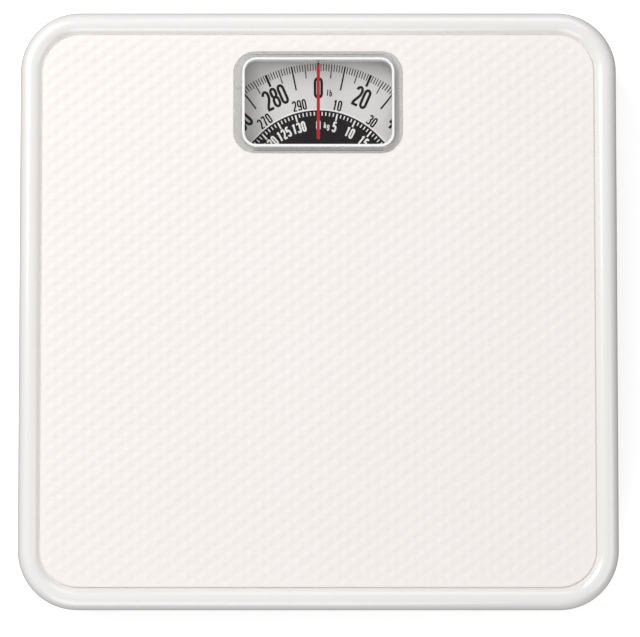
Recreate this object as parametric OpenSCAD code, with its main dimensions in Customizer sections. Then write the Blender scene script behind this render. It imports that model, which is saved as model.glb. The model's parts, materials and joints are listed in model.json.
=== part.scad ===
// Mechanical dial platform scale: a pressed-steel platform on four levers, whose load stretches two
// springs and turns a printed dial under a clear window.
// Millimetres. The origin is on the floor under the middle of the platform, +Z is up, and +Y points
// to the window end.

/* [Platform] */
// Width of the platform over its rim
platform_w = 266; // [256:0.1:290]
// Depth of the platform over its rim
platform_d = 266; // [256:1:290]
// Outer corner radius of the platform
corner_r = 26.5; // [24:0.5:32]
// Radius of the rolled bead round the edge
bead_r = 5.2; // [4.8:0.1:5.6]
// Sheet thickness of the platform and the base pan
sheet_t = 1; // [0.8:0.1:1.2]
// Height of the deck's upper face, on which the mat lies
deck_z = 46.4; // [46:0.1:47]
// Height of the lower edge of the skirt
skirt_z = 15; // [13:0.5:17]
// Thickness of the mat
mat_t = 1.2; // [0.8:0.1:1.4]
// Distance from the platform's edge to the mat's edge
mat_inset = 10.4; // [9.8:0.1:12]

/* [Window] */
// Distance of the window's middle from the platform's middle
window_y = 92.5; // [92:0.1:94]
// Width of the window's flange
flange_w = 75.4; // [74:0.1:77]
// Depth of the window's flange
flange_d = 45.4; // [44:0.1:47]
// Corner radius of the window's flange
flange_r = 9.6; // [8:0.1:11]
// Width of the raised pane
pane_w = 67.7; // [67:0.1:68]
// Depth of the raised pane
pane_d = 40; // [39:0.1:40.5]
// Corner radius of the raised pane
pane_r = 6.3; // [5.5:0.1:7]
// Height of the pane's upper face, the top of the scale
pane_top = 50; // [49.6:0.1:50.4]
// Length of the pointer
pointer_l = 33.3; // [28:0.1:34]
// Width of the pointer
pointer_w = 1.4; // [1:0.1:2]

/* [Dial] */
// Distance of the dial's axis from the platform's middle
dial_y = 52.4; // [52:0.1:53.5]
// Radius of the dial
dial_r = 70; // [62:0.5:71]
// Thickness of the dial
dial_t = 0.6; // [0.5:0.1:0.8]
// Height of the dial's lower face
dial_z = 37.4; // [37:0.1:37.6]

/* [Base] */
// Width of the base pan
pan_w = 256; // [246:1:256]
// Depth of the base pan
pan_d = 256; // [246:1:256]
// Outer corner radius of the base pan
pan_r = 22; // [18:1:26]
// Height of the base pan's wall above the floor that the scale stands on
pan_top = 24; // [20:0.5:26]
// Radius of a rubber foot
foot_r = 12; // [9:0.5:14]

/* [Levers] */
// Distance of each corner fulcrum from the middle, along X and along Y
fulcrum_xy = 104; // [102:0.5:105]
// Distance of a long lever's nose from the middle line
nose_x = 16; // [15.5:0.5:16.5]
// Distance of the noses from the platform's middle
nose_y = 103; // [103:0.1:103.2]
// Distance from the fulcrum edge to the load edge along a lever
load_arm = 14; // [13.5:0.5:15]
// Width of a lever's channel
lever_w = 10; // [9:0.5:10]
// Travel of the calibrating plate at full load
plate_travel = 8; // [7:0.5:8]

/* [Hidden] */
$fn = 64;

// running fit of a shaft in its bore, and the gap between parts that pass each other
fit = 0.05;
seat = 0.02;
gap = 0.3;
// how far one cut runs past the face that it opens
cut = 1;

foot_h = 6;
floor_z = foot_h + sheet_t;
pan_fillet = 4;
pan_inset = 12.5;
deck_inset = 12.5;
// how far a swept edge reaches in over the flat plate that it closes
edge_lap = 0.5;
bead_top = pane_top - 0.8;
pane_t = 1.4;
bracket_t = 1.2;
pin_end = 0.6;
rivet_r = 1.6;
head_r = 2.8;
head_t = 1;
head_taper = 0.7;
foot_recess = 3.4;
lug_w = 5;
lug_t = 1.2;
lug_h = 4;
lug_eye = 0.9;

// lever geometry: a long lever runs from its front fulcrum to its nose, a short lever from its rear
// fulcrum to the long lever at mid depth
lever_dx = fulcrum_xy - nose_x;
lever_dy = fulcrum_xy + nose_y;
long_l = norm([lever_dx, lever_dy]);
lever_turn = atan2(lever_dy, -lever_dx);
short_l = fulcrum_xy * long_l / lever_dy;
lever_top = 24;
lever_h = 8;
lever_t = 1.4;
lever_tail = 8;
tongue_w = 6;
edge_r = 2;
edge_z = 18;
edge_l = 19.2;
ear_r = 6;
ear_t = 1.5;
ear_in = 7.2;

// calibrating plate, and the crank whose input pin it rests on
plate_z = 19.3;
plate_t = 1.5;
plate_w = 74;
plate_y = [97.5, 107.5];
crank_y = 92;
crank_z = 14;
crank_pin_r = 1;
pinion_teeth = 10;
gear_module = 0.5;
rack_travel = PI * gear_module * pinion_teeth;
out_arm = 14.5;
crank_half = asin(rack_travel / 2 / out_arm);
in_arm = plate_travel / 2 / sin(crank_half);
out_arm_x = [7.5, 9.1];
in_arm_x = [-3, -1.4];
crank_hub_r = 3;
crank_pivot_r = 1.5;
crank_ear_x = [[-6, -4.6], [9.6, 11]];
crank_ear_r = 3.5;
crank_foot_y = [crank_y - 12, crank_y - 4.5];

// springs and the beam that they hang from
spring_x = 30;
spring_y = 103;
spring_r = 6;
spring_wire = 1.6;
beam_z = 33;
beam_t = 1.5;
spring_l = 11;
post_x = 44;
post_tip_w = 5;
post_half_t = 0.75;
post_half_d = 5;
screw_y = 116.5;
screw_r = 2;
screw_low = 8;
wheel_r = 13.2;
wheel_z = 7.6;
wheel_t = 3.4;
wheel_ribs = 44;
wheel_slot_x = 11;
keeper_z = 13.4;
keeper_t = 1;

// dial train: tooth_root, tooth_mid and tooth_tip are half widths at the root, the pitch line and the tip
spindle_r = 1.5;
bush_r = 3.2;
bridge_z = 25;
bridge_t = 1.5;
bridge_w = 40;
bridge_d = 20;
pitch_r = gear_module * pinion_teeth / 2;
pinion_z = 27.4;
rack_z = 27.6;
rack_h = 2.4;
rack_back = pitch_r + 4.6;
tooth_pitch = PI * gear_module;
tooth_root = 0.36;
tooth_mid = 0.26;
tooth_tip = 0.12;
addendum = 0.42;
dedendum = 0.6;
rack_y = [33, 87.2];
rack_spring_x = 5;
rack_spring_y = [-10, 31.5];
rack_spring_r = 2.4;
rack_spring_wire = 0.8;
pinion_h = 3.2;
hub_z = 31.6;
hub_r = 5;
hub_flange_r = 12;
hub_flange_t = 1.2;
hub_head_t = 0.6;
hub_rivet_r = 1;
hub_rivet_out = 8.8;
hold_x = 76;
hold_y = 80;
hold_r = 4;
hold_wire = 1.2;
hold_l = deck_z - sheet_t - floor_z - 1.6;

// where the rivets go through the base pan
foot_at = [for (x = [-1, 1], y = [-1, 1]) [x * fulcrum_xy, y * fulcrum_xy]];
bridge_rivet_at = [for (x = [-1, 1]) [x * (bridge_w / 2 + 3.5), dial_y]];
crank_rivet_at = [for (x = [-1.5, 6.5]) [x, crank_y - 8]];
post_rivet_at = [for (x = [-1, 1]) [x * (post_x + 5), spring_y]];
keeper_rivet_at = [-22, screw_y];

function arc_points(x, y, r, from, to, steps) =
    [for (i = [0:steps]) let (a = from + (to - from) * i / steps) [x + r * cos(a), y + r * sin(a)]];

// a rectangle with true round corners
module rounded_rect(w, d, r) {
    square([w - 2 * r, d], center = true);
    square([w, d - 2 * r], center = true);
    for (x = [-1, 1], y = [-1, 1])
        translate([x * (w / 2 - r), y * (d / 2 - r)])
            circle(r);
}

module rounded_plate(w, d, r, z, t) {
    translate([0, 0, z])
        linear_extrude(t)
            rounded_rect(w, d, r);
}

// sweeps a section round a rounded rectangle; the section's x is measured from the corner's centre
module swept_edge(w, d, r) {
    for (i = [0:3]) {
        corner_x = i == 0 || i == 3 ? 1 : -1;
        corner_y = i < 2 ? 1 : -1;
        out = (i % 2 == 0 ? w : d) / 2 - r;
        run = (i % 2 == 0 ? d : w) - 2 * r;
        translate([corner_x * (w / 2 - r), corner_y * (d / 2 - r), 0])
            rotate([0, 0, 90 * i])
                rotate_extrude(angle = 90)
                    children();
        rotate([0, 0, 90 * i])
            translate([out, run / 2, 0])
                rotate([90, 0, 0])
                    linear_extrude(run)
                        children();
    }
}

// a cylinder along X from x0 to x1
module x_rod(r, x0, x1, y = 0, z = 0) {
    translate([x0, y, z])
        rotate([0, 90, 0])
            cylinder(r = r, h = x1 - x0);
}

// an outline in Y and Z, extruded along X from x0 to x1
module x_plate(x0, x1) {
    translate([x0, 0, 0])
        rotate([90, 0, 90])
            linear_extrude(x1 - x0)
                children();
}

// a box between two corners
module block(low, high) {
    translate(low)
        cube(high - low);
}

// a rivet whose heads close on z0 and z1
module rivet(at, z0, z1) {
    translate([at[0], at[1], z0]) {
        cylinder(r = rivet_r, h = z1 - z0);
        translate([0, 0, z1 - z0])
            cylinder(r1 = head_r, r2 = head_r * head_taper, h = head_t);
        translate([0, 0, -head_t])
            cylinder(r2 = head_r, r1 = head_r * head_taper, h = head_t);
    }
}

// the cutter for a rivet's hole through a sheet of thickness t
module rivet_hole(at, z, t) {
    translate([at[0], at[1], z - cut])
        cylinder(r = rivet_r + seat, h = t + 2 * cut);
}

// the cutter for a lever edge's hole, along Y through both ears or both walls
module cross_bore(x, r) {
    translate([x, -edge_l, edge_z])
        rotate([-90, 0, 0])
            cylinder(r = r, h = 2 * edge_l);
}

// places a part that is made along +X from the fulcrum: sx is -1 on the left, sy is 1 at the front
module at_corner(sx, sy) {
    mirror([sx < 0 ? 1 : 0, 0, 0])
        mirror([0, sy < 0 ? 1 : 0, 0])
            translate([fulcrum_xy, -fulcrum_xy, 0])
                rotate([0, 0, lever_turn])
                    children();
}

// a spring's outer shape as a tube
module spring_tube(r, wire, h) {
    difference() {
        cylinder(r = r, h = h);
        translate([0, 0, -cut])
            cylinder(r = r - wire, h = h + 2 * cut);
    }
}

module pan_section() {
    x = pan_r - pan_fillet;
    z = foot_h + pan_fillet;
    inside = pan_r - pan_inset - edge_lap;
    polygon(concat(
        [[inside, foot_h]],
        arc_points(x, z, pan_fillet, -90, 0, 6),
        [[pan_r, pan_top], [pan_r - sheet_t, pan_top]],
        arc_points(x, z, pan_fillet - sheet_t, 0, -90, 6),
        [[inside, floor_z]]
    ));
}

// a lanced lug for a spring's hook, standing on z0 or hanging from it
module spring_lug(z0, up) {
    difference() {
        translate([-lug_w / 2, -lug_t / 2, up > 0 ? z0 : z0 - lug_h])
            cube([lug_w, lug_t, lug_h]);
        translate([0, -lug_t, z0 + up * lug_h * 0.6])
            rotate([-90, 0, 0])
                cylinder(r = lug_eye, h = 2 * lug_t);
    }
}

module base_pan() {
    color("whitesmoke") {
        difference() {
            union() {
                swept_edge(pan_w, pan_d, pan_r)
                    pan_section();
                rounded_plate(pan_w - 2 * pan_inset, pan_d - 2 * pan_inset, pan_r - pan_inset,
                    foot_h, sheet_t);
            }
            for (at = concat(foot_at, bridge_rivet_at, crank_rivet_at, post_rivet_at, [keeper_rivet_at]))
                rivet_hole(at, foot_h, sheet_t);
            block([-wheel_slot_x, pan_d / 2 - 8, floor_z + 0.2],
                [wheel_slot_x, pan_d / 2 + cut, wheel_z + 4.2]);
        }
        // pressed stiffening beads under the floor
        for (side = [-1, 1]) {
            stiffening_bead(60 * side, -20, 130);
            stiffening_bead(20 * side, -55, 90);
        }
        for (x = [-1, 1], y = [-1, 1])
            translate([x * hold_x, y * hold_y, 0])
                spring_lug(floor_z, 1);
    }
}

// one long bead with round ends, at x, about the middle y
module stiffening_bead(x, y, l) {
    bead_w = 8;
    translate([x, y, foot_h - bracket_t])
        linear_extrude(bracket_t) {
            square([bead_w, l - bead_w], center = true);
            for (end = [-1, 1])
                translate([0, end * (l - bead_w) / 2])
                    circle(bead_w / 2);
        }
}

module rubber_feet() {
    color("dimgray")
        for (at = foot_at)
            translate([at[0], at[1], 0])
                rotate_extrude()
                    polygon([
                        [head_r + gap, 0], [foot_r - 1, 0], [foot_r, 1.2], [foot_r, foot_h],
                        [rivet_r + seat, foot_h], [rivet_r + seat, foot_recess], [head_r + gap, foot_recess]
                    ]);
}

module foot_rivets() {
    color("silver")
        for (at = foot_at)
            rivet(at, foot_recess, floor_z + bracket_t);
}

// a U bracket whose two ears carry the lever's fulcrum edge
module fulcrum_post() {
    half = 8;
    color("silver")
        difference() {
            union() {
                block([-half, -ear_in - ear_t, floor_z], [half, ear_in + ear_t, floor_z + bracket_t]);
                for (side = [-1, 1])
                    translate([0, side * (ear_in + ear_t / 2) + ear_t / 2, 0])
                        rotate([90, 0, 0])
                            linear_extrude(ear_t) {
                                translate([-ear_r, floor_z])
                                    square([2 * ear_r, edge_z - floor_z]);
                                translate([0, edge_z])
                                    circle(ear_r);
                            }
            }
            cross_bore(0, edge_r + fit);
            rivet_hole([0, 0], floor_z, bracket_t);
        }
}

module dial_bridge() {
    foot = 7;
    half = bridge_w / 2;
    front = dial_y - bridge_d / 2;
    back = dial_y + bridge_d / 2;
    top = bridge_z + bridge_t;
    color("silver")
        difference() {
            union() {
                block([-half, front, bridge_z], [half, back, top]);
                for (side = [0, 1])
                    mirror([side, 0, 0]) {
                        block([half - bridge_t, front, floor_z], [half, back, top]);
                        block([half - bridge_t, front, floor_z], [half + foot, back, floor_z + bracket_t]);
                    }
            }
            translate([0, dial_y, bridge_z - cut])
                cylinder(r = bush_r + seat, h = bridge_t + 2 * cut);
            for (at = bridge_rivet_at)
                rivet_hole(at, floor_z, bracket_t);
        }
}

module bridge_rivets() {
    color("gainsboro")
        for (at = bridge_rivet_at)
            rivet(at, foot_h, floor_z + bracket_t);
}

module spindle_bush() {
    bore = spindle_r + fit;
    collar_r = 4.5;
    low = bridge_z - 1;
    seat_z = bridge_z + bridge_t;
    top = seat_z + 0.6;
    color("goldenrod")
        translate([0, dial_y, 0])
            rotate_extrude()
                polygon([
                    [bore, low], [bush_r, low], [bush_r, seat_z],
                    [collar_r, seat_z], [collar_r, top], [bore, top]
                ]);
}

module footstep_bearing() {
    bore = spindle_r + fit;
    foot = 6;
    wall = 4;
    step = floor_z + 1;
    top = floor_z + 4;
    color("goldenrod")
        translate([0, dial_y, 0])
            rotate_extrude()
                polygon([
                    [0, floor_z], [foot, floor_z], [foot, step], [wall, step],
                    [wall, top], [bore, top], [bore, step], [0, step]
                ]);
}

// keeps the rack against the pinion: floor, back wall and lip
module rack_guide() {
    z = bridge_z + bridge_t;
    half = 8;
    wall = 1;
    floor_x = 4.9;
    lip_x = 4.5;
    inside = rack_back + gap;
    lip_z = rack_z + rack_h + gap;
    lip_t = 0.8;
    color("silver")
        translate([0, dial_y, 0]) {
            block([floor_x, -half, z], [inside + wall, half, rack_z - gap]);
            block([inside, -half, z], [inside + wall, half, lip_z + lip_t]);
            block([lip_x, -half, lip_z], [inside + wall, half, lip_z + lip_t]);
        }
}

module rack_spring_anchor() {
    y = rack_spring_y[0] - 2.5;
    z = rack_z + rack_h / 2;
    low_x = rack_spring_x - 5;
    high_x = rack_spring_x + 5;
    color("silver")
        difference() {
            union() {
                block([low_x, y - 10, floor_z], [high_x, y, floor_z + bracket_t]);
                block([low_x, y - bracket_t, floor_z], [high_x, y, z + 3]);
            }
            translate([rack_spring_x, y - bracket_t - cut, z])
                rotate([-90, 0, 0])
                    cylinder(r = 1.1, h = bracket_t + 2 * cut);
        }
}

module rack_spring() {
    color("silver")
        translate([rack_spring_x, rack_spring_y[0], rack_z + rack_h / 2])
            rotate([-90, 0, 0])
                spring_tube(rack_spring_r, rack_spring_wire, rack_spring_y[1] - rack_spring_y[0]);
}

module crank_bracket() {
    rib_h = 4;
    color("silver")
        difference() {
            union() {
                block([crank_ear_x[0][0], crank_foot_y[0], floor_z],
                    [crank_ear_x[1][1], crank_foot_y[1], floor_z + bracket_t]);
                for (x = crank_ear_x)
                    x_plate(x[0], x[1]) {
                        translate([crank_foot_y[0], floor_z])
                            square([crank_y + crank_ear_r - crank_foot_y[0], rib_h]);
                        translate([crank_y - crank_ear_r, floor_z])
                            square([2 * crank_ear_r, crank_z - floor_z]);
                        translate([crank_y, crank_z])
                            circle(crank_ear_r);
                    }
            }
            x_rod(crank_pivot_r + seat, crank_ear_x[0][0] - cut, crank_ear_x[1][1] + cut, crank_y, crank_z);
            for (at = crank_rivet_at)
                rivet_hole(at, floor_z, bracket_t);
        }
}

module crank_bracket_rivets() {
    color("gainsboro")
        for (at = crank_rivet_at)
            rivet(at, foot_h, floor_z + bracket_t);
}

module crank_pivot_pin() {
    left = crank_ear_x[0][0];
    right = crank_ear_x[1][1];
    color("gainsboro")
        union() {
            x_rod(crank_pivot_r, left - pin_end, right + pin_end, crank_y, crank_z);
            x_rod(crank_pivot_r + pin_end, left - 2 * pin_end, left, crank_y, crank_z);
            x_rod(crank_pivot_r + pin_end, right, right + 2 * pin_end, crank_y, crank_z);
        }
}

// an upright whose narrow tip guides the beam
module spring_post() {
    shoulder = beam_z - 1.5;
    tip = beam_z + beam_t + 1.5;
    low_x = post_x - post_half_t;
    high_x = post_x + post_half_t;
    foot_x = post_x + 9;
    front = spring_y - post_half_d;
    back = spring_y + post_half_d;
    color("silver")
        difference() {
            union() {
                block([low_x, front, floor_z], [high_x, back, shoulder]);
                block([low_x, spring_y - post_tip_w / 2, floor_z], [high_x, spring_y + post_tip_w / 2, tip]);
                block([low_x, front, floor_z], [foot_x, back, floor_z + bracket_t]);
            }
            rivet_hole(post_rivet_at[1], floor_z, bracket_t);
        }
}

module post_rivets() {
    color("gainsboro")
        for (at = post_rivet_at)
            rivet(at, foot_h, floor_z + bracket_t);
}

module main_spring() {
    color("silver")
        translate([spring_x, spring_y, plate_z + plate_t + gap])
            spring_tube(spring_r, spring_wire, spring_l);
}

module thumbwheel_keeper() {
    foot_x = -26;
    low_x = -18.5;
    high_x = 5;
    front = screw_y - 4;
    back = screw_y + 4;
    top = keeper_z + keeper_t;
    color("silver")
        difference() {
            union() {
                block([foot_x, front, floor_z], [low_x + keeper_t, back, floor_z + bracket_t]);
                block([low_x, front, floor_z], [low_x + keeper_t, back, top]);
                block([low_x, front, keeper_z], [high_x, back, top]);
            }
            translate([0, screw_y, keeper_z - cut])
                cylinder(r = screw_r + gap, h = keeper_t + 2 * cut);
            rivet_hole(keeper_rivet_at, floor_z, bracket_t);
        }
}

module keeper_rivet() {
    color("gainsboro")
        rivet(keeper_rivet_at, foot_h, floor_z + bracket_t);
}

module hold_down_springs() {
    color("silver")
        for (x = [-1, 1], y = [-1, 1])
            translate([x * hold_x, y * hold_y, floor_z + gap])
                spring_tube(hold_r, hold_wire, hold_l);
}

module spring_beam() {
    half = post_x + 5;
    half_d = 5;
    tongue_x = 6;
    slot_x = post_half_t + 0.1;
    slot_y = post_tip_w / 2 + 0.1;
    color("silver") {
        difference() {
            union() {
                block([-half, spring_y - half_d, beam_z], [half, spring_y + half_d, beam_z + beam_t]);
                block([-tongue_x, spring_y, beam_z], [tongue_x, screw_y + half_d, beam_z + beam_t]);
            }
            for (side = [-1, 1])
                block([side * post_x - slot_x, spring_y - slot_y, beam_z - cut],
                    [side * post_x + slot_x, spring_y + slot_y, beam_z + beam_t + cut]);
            translate([0, screw_y, beam_z - cut])
                cylinder(r = screw_r + seat, h = beam_t + 2 * cut);
        }
        for (side = [-1, 1])
            translate([side * spring_x, spring_y, 0])
                spring_lug(beam_z, -1);
    }
}

module adjusting_screw() {
    collar_t = 1.2;
    color("gainsboro")
        translate([0, screw_y, 0]) {
            translate([0, 0, screw_low])
                cylinder(r = screw_r, h = beam_z + beam_t - screw_low);
            translate([0, 0, beam_z - collar_t])
                cylinder(r = 3.5, h = collar_t);
            translate([0, 0, beam_z + beam_t])
                cylinder(r = 3, h = head_t);
        }
}

module thumbwheel() {
    rib = 0.5;
    hub_r = 6;
    hub_top = keeper_z - 0.4;
    color("dimgray")
        translate([0, screw_y, 0])
            difference() {
                union() {
                    translate([0, 0, wheel_z])
                        linear_extrude(wheel_t)
                            polygon([for (i = [0:2 * wheel_ribs - 1])
                                let (r = wheel_r - (i % 2) * rib, a = 180 * i / wheel_ribs)
                                [r * cos(a), r * sin(a)]]);
                    translate([0, 0, wheel_z])
                        cylinder(r = hub_r, h = hub_top - wheel_z);
                }
                translate([0, 0, wheel_z - cut])
                    cylinder(r = screw_r + fit, h = keeper_z);
            }
}

module calibrating_plate() {
    color("silver") {
        difference() {
            block([-plate_w / 2, plate_y[0], plate_z], [plate_w / 2, plate_y[1], plate_z + plate_t]);
            block([in_arm_x[0] - 0.4, plate_y[0] - cut, plate_z - cut],
                [in_arm_x[1] + 0.4, crank_y + in_arm + 2.8, plate_z + plate_t + cut]);
        }
        for (side = [-1, 1])
            translate([side * spring_x, spring_y, 0])
                spring_lug(plate_z + plate_t, 1);
    }
}

// one arm of the crank as a flat bar with round ends, from the pivot, at an angle above +Y
module crank_arm(x, l, angle) {
    half_w = 2;
    translate([0, crank_y, crank_z])
        rotate([angle, 0, 0])
            x_plate(x[0], x[1]) {
                translate([0, -half_w])
                    square([l, 2 * half_w]);
                translate([l, 0])
                    circle(half_w);
            }
}

// at rest both arms stand half the crank's swing before their middle position
module bell_crank() {
    color("goldenrod")
        difference() {
            union() {
                x_rod(crank_hub_r, crank_ear_x[0][1] + gap, crank_ear_x[1][0] - gap, crank_y, crank_z);
                crank_arm(in_arm_x, in_arm, crank_half);
                crank_arm(out_arm_x, out_arm, crank_half + 90);
            }
            x_rod(crank_pivot_r + fit, crank_ear_x[0][0], crank_ear_x[1][1], crank_y, crank_z);
            crank_pin_places()
                x_rod(crank_pin_r + seat, in_arm_x[0] - cut, out_arm_x[1] + cut);
        }
}

module crank_pin_places() {
    translate([0, crank_y + in_arm * cos(crank_half), crank_z + in_arm * sin(crank_half)])
        children();
    translate([0, crank_y - out_arm * sin(crank_half), crank_z + out_arm * cos(crank_half)])
        children();
}

module crank_arm_pins() {
    color("gainsboro") {
        translate([0, crank_y + in_arm * cos(crank_half), crank_z + in_arm * sin(crank_half)])
            x_rod(crank_pin_r, in_arm_x[0], 3);
        translate([0, crank_y - out_arm * sin(crank_half), crank_z + out_arm * cos(crank_half)])
            x_rod(crank_pin_r, pitch_r + 1, out_arm_x[1]);
    }
}

module rack() {
    root = pitch_r + dedendum;
    tip = pitch_r - addendum;
    slot_y = crank_y - out_arm * sin(crank_half);
    tooth_count = 14;
    color("goldenrod")
        difference() {
            union() {
                block([root, rack_y[0], rack_z], [rack_back, rack_y[1], rack_z + rack_h]);
                block([pitch_r + 1, slot_y - 3, rack_z - 3], [rack_back, rack_y[1], rack_z + rack_h + 1.2]);
                translate([0, 0, rack_z])
                    linear_extrude(rack_h)
                        for (i = [0:tooth_count - 1]) {
                            y = dial_y + (1.5 - i) * tooth_pitch;
                            polygon([
                                [root + 0.2, y - tooth_root], [root, y - tooth_root],
                                [pitch_r, y - tooth_mid], [tip, y - tooth_tip],
                                [tip, y + tooth_tip], [pitch_r, y + tooth_mid],
                                [root, y + tooth_root], [root + 0.2, y + tooth_root]
                            ]);
                        }
            }
            block([pitch_r, slot_y - crank_pin_r - 0.35, rack_z - 4],
                [rack_back + cut, slot_y + crank_pin_r + 0.35, rack_z + rack_h]);
            translate([rack_spring_x, rack_y[0] + 1.5, rack_z - cut])
                cylinder(r = 0.8, h = rack_h + 2 * cut);
        }
}

module dial_spindle() {
    low = floor_z + 1.1;
    color("gainsboro")
        translate([0, dial_y, low])
            cylinder(r = spindle_r, h = dial_z + dial_t + 1.8 - low);
}

module pinion() {
    root = pitch_r - dedendum;
    tip = pitch_r + addendum;
    color("goldenrod")
        translate([0, dial_y, 0])
            difference() {
                union() {
                    translate([0, 0, pinion_z])
                        linear_extrude(pinion_h) {
                            circle(root);
                            for (i = [0:pinion_teeth - 1])
                                rotate([0, 0, 360 / pinion_teeth * i])
                                    polygon([
                                        [root - 0.3, -tooth_root], [root, -tooth_root],
                                        [pitch_r, -tooth_mid], [tip, -tooth_tip],
                                        [tip, tooth_tip], [pitch_r, tooth_mid],
                                        [root, tooth_root], [root - 0.3, tooth_root]
                                    ]);
                        }
                    translate([0, 0, pinion_z + pinion_h])
                        cylinder(r = 2.4, h = hub_z - pinion_z - pinion_h);
                }
                translate([0, 0, pinion_z - cut])
                    cylinder(r = spindle_r + seat, h = hub_z - pinion_z + 2 * cut);
            }
}

module dial_hub() {
    bore = spindle_r + seat;
    low = dial_z - hub_flange_t;
    top = dial_z + dial_t + hub_head_t;
    color("gainsboro")
        translate([0, dial_y, 0])
            difference() {
                rotate_extrude()
                    polygon([
                        [bore, hub_z], [hub_r, hub_z], [hub_r, low], [hub_flange_r, low],
                        [hub_flange_r, dial_z], [hub_r, dial_z], [hub_r, top], [bore, top]
                    ]);
                hub_rivet_places()
                    translate([0, 0, low - cut])
                        cylinder(r = hub_rivet_r, h = hub_flange_t + 2 * cut);
            }
}

module hub_rivet_places() {
    for (i = [0:2])
        rotate([0, 0, 120 * i + 90])
            translate([hub_rivet_out, 0, 0])
                children();
}

module hub_rivets() {
    wide = 2;
    narrow = 1.2;
    color("gainsboro")
        translate([0, dial_y, 0])
            hub_rivet_places() {
                translate([0, 0, dial_z - hub_flange_t])
                    cylinder(r = hub_rivet_r - seat, h = hub_flange_t + dial_t);
                translate([0, 0, dial_z + dial_t])
                    cylinder(r1 = wide, r2 = narrow, h = hub_head_t);
                translate([0, 0, dial_z - hub_flange_t - hub_head_t])
                    cylinder(r1 = narrow, r2 = wide, h = hub_head_t);
            }
}

module dial_disc() {
    color("whitesmoke")
        translate([0, dial_y, dial_z])
            difference() {
                cylinder(r = dial_r, h = dial_t);
                translate([0, 0, -cut])
                    cylinder(r = hub_r + seat, h = dial_t + 2 * cut);
                hub_rivet_places()
                    translate([0, 0, -cut])
                        cylinder(r = hub_rivet_r, h = dial_t + 2 * cut);
            }
}

// the deck's edge, the rolled bead, the skirt and its hem
module platform_section() {
    x = corner_r - bead_r;
    z = bead_top - bead_r;
    inside = corner_r - deck_inset - edge_lap;
    inner_r = bead_r - sheet_t;
    outer_end = 180 - asin((deck_z - z) / bead_r);
    inner_end = 180 - asin((deck_z - sheet_t - z) / inner_r);
    hem_w = 1.1;
    hem_h = 4;
    polygon(concat(
        [[inside, deck_z - sheet_t]],
        arc_points(x, z, inner_r, inner_end, 0, 10),
        [
            [corner_r - sheet_t, skirt_z + hem_h], [corner_r - sheet_t - hem_w, skirt_z + hem_h],
            [corner_r - sheet_t - hem_w, skirt_z], [corner_r, skirt_z]
        ],
        arc_points(x, z, bead_r, 0, outer_end, 12),
        [[inside, deck_z]]
    ));
}

module platform() {
    color("whitesmoke") {
        difference() {
            union() {
                swept_edge(platform_w, platform_d, corner_r)
                    platform_section();
                rounded_plate(platform_w - 2 * deck_inset, platform_d - 2 * deck_inset, corner_r - deck_inset,
                    deck_z - sheet_t, sheet_t);
            }
            translate([0, window_y, 0])
                rounded_plate(pane_w + 2 * gap, pane_d + 2 * gap, pane_r + gap,
                    deck_z - sheet_t - cut, sheet_t + 2 * cut);
        }
        for (x = [-1, 1], y = [-1, 1])
            translate([x * hold_x, y * hold_y, 0])
                spring_lug(deck_z - sheet_t, -1);
    }
}

module platform_mat() {
    inset = 2 * mat_inset;
    color("ivory")
        difference() {
            rounded_plate(platform_w - inset, platform_d - inset, corner_r - mat_inset, deck_z, mat_t);
            translate([0, window_y, 0])
                rounded_plate(flange_w + 2 * gap, flange_d + 2 * gap, flange_r + gap,
                    deck_z - cut, mat_t + 2 * cut);
        }
}

module window_lens() {
    wall = 1.2;
    skirt_bottom = 41;
    flange_t = 1.8;
    color([0.85, 0.9, 0.92, 0.4])
        translate([0, window_y, 0])
            difference() {
                union() {
                    rounded_plate(flange_w, flange_d, flange_r, deck_z, flange_t);
                    rounded_plate(pane_w, pane_d, pane_r, skirt_bottom, pane_top - skirt_bottom);
                }
                rounded_plate(pane_w - 2 * wall, pane_d - 2 * wall, pane_r - wall,
                    skirt_bottom - cut, pane_top - pane_t - skirt_bottom + cut);
            }
}

// a spring clip under the deck, beside the window's skirt, which faces -Y
module lens_clip() {
    half = 3.5;
    tab_t = 0.8;
    near = 0.1;
    far = 5;
    h = 4;
    top = deck_z - sheet_t;
    block([-half, near, top - tab_t], [half, far, top]);
    block([-half, near, top - h], [half, near + tab_t, top]);
}

module lens_clips() {
    color("silver")
        translate([0, window_y, 0]) {
            for (x = [-24.5, 24.5], side = [0, 1])
                mirror([0, side, 0])
                    translate([x, pane_d / 2, 0])
                        lens_clip();
            for (side = [-1, 1])
                rotate([0, 0, -90 * side])
                    translate([-6.5 * side, pane_w / 2, 0])
                        lens_clip();
        }
}

module pointer() {
    t = 0.6;
    color("firebrick")
        translate([0, window_y, pane_top - pane_t - t])
            linear_extrude(t) {
                square([pointer_w, pointer_l - pointer_w], center = true);
                for (end = [-1, 1])
                    translate([0, end * (pointer_l - pointer_w) / 2])
                        circle(pointer_w / 2);
            }
}

module platform_stiffeners() {
    half = 68;
    brim = 14;
    wall = 7;
    crown = 6;
    top = deck_z - sheet_t;
    low = top - 6;
    brim_z = top - 1;
    color("silver")
        for (y = [-44, -92])
            translate([0, y, 0])
                x_plate(-half, half)
                    polygon([
                        [-brim, top], [brim, top], [brim, brim_z], [wall, brim_z], [crown, low],
                        [-crown, low], [-wall, brim_z], [-brim, brim_z]
                    ]);
}

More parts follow.
